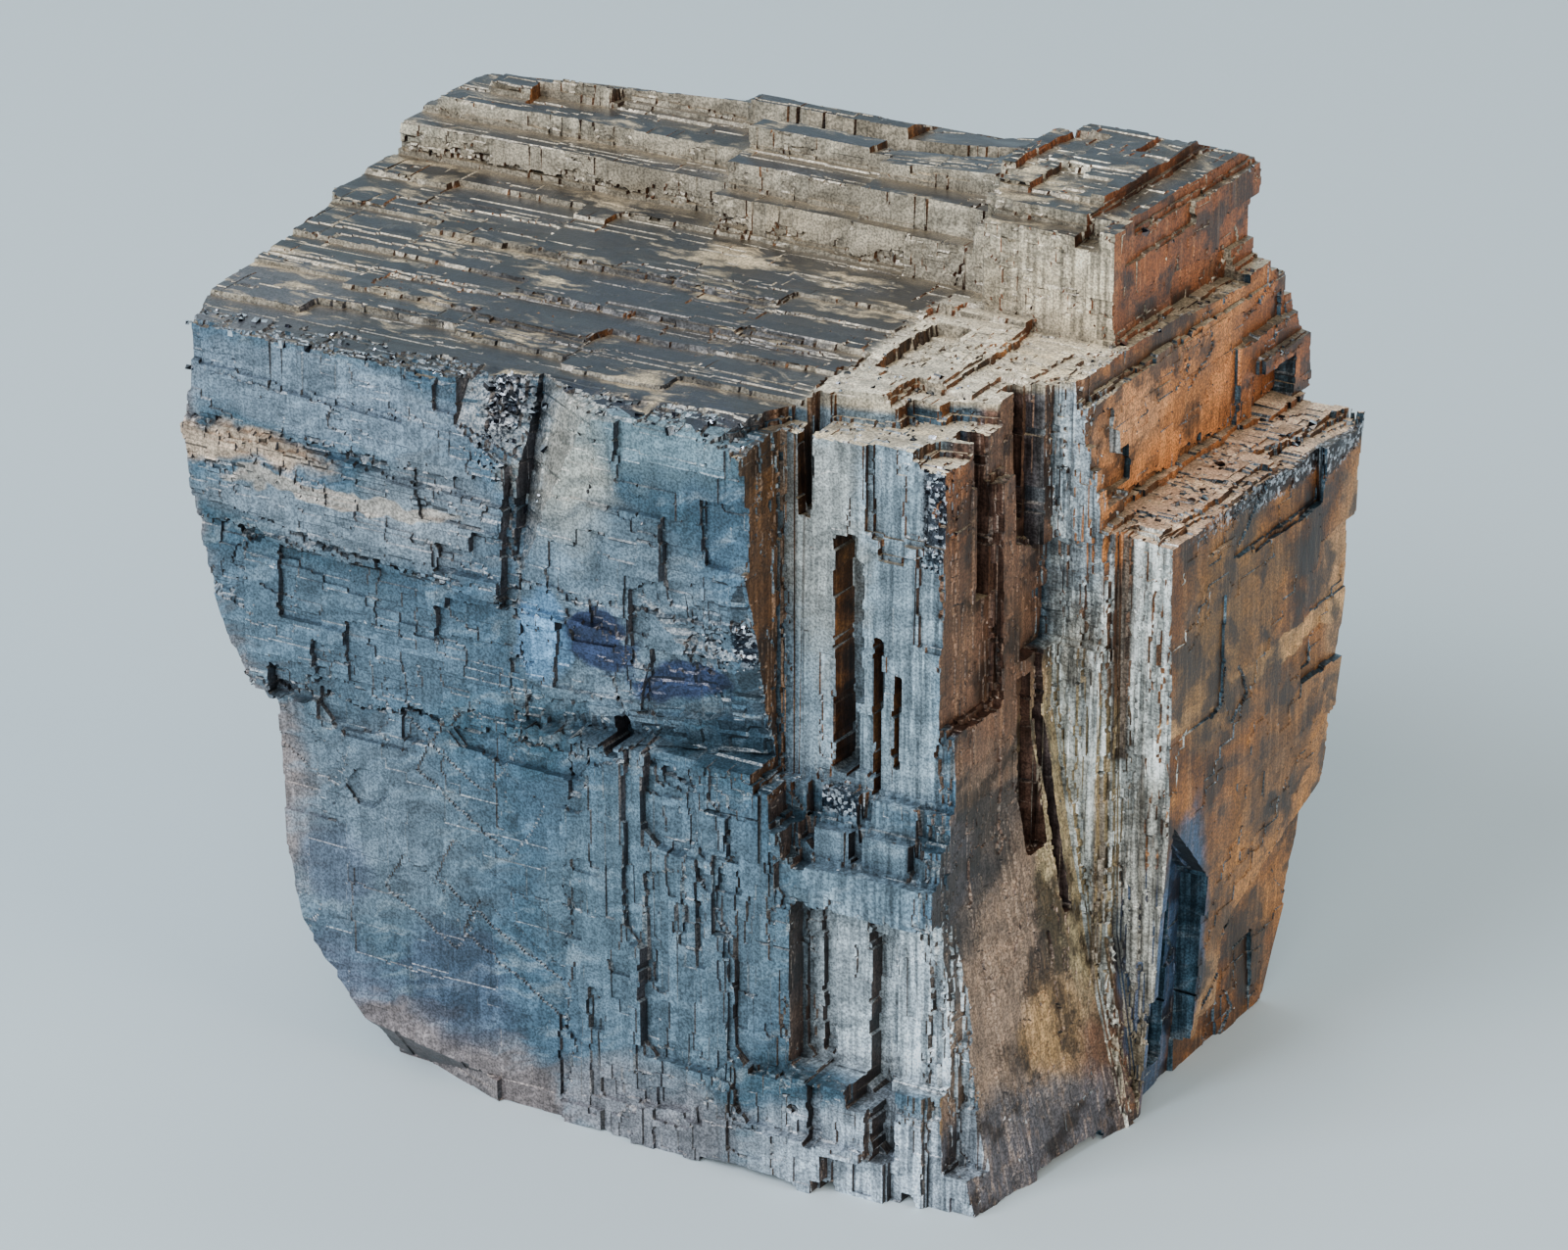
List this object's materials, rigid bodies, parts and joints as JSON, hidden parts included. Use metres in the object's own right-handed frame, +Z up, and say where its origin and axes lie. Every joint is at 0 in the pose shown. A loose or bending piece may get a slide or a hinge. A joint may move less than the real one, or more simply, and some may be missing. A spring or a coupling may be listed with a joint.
{
  "type": "galena cleavage specimen",
  "caption": "Lump of galena with stepped right-angled cleavage, a display or teaching mineral specimen that stands on its flat underside.",
  "frame": {"origin": "middle of the overall box, on the plane the specimen rests on", "axes": "+Z up, +X to the right along the wide front face, which faces -Y"},
  "size_m": [0.085, 0.0628, 0.0755],
  "materials": {
    "galena": "natural cleavage faces, lead grey to steel blue with brown and cream tarnish"
  },
  "bodies": {
    "root": {"galena": "galena"}
  },
  "joints": []
}
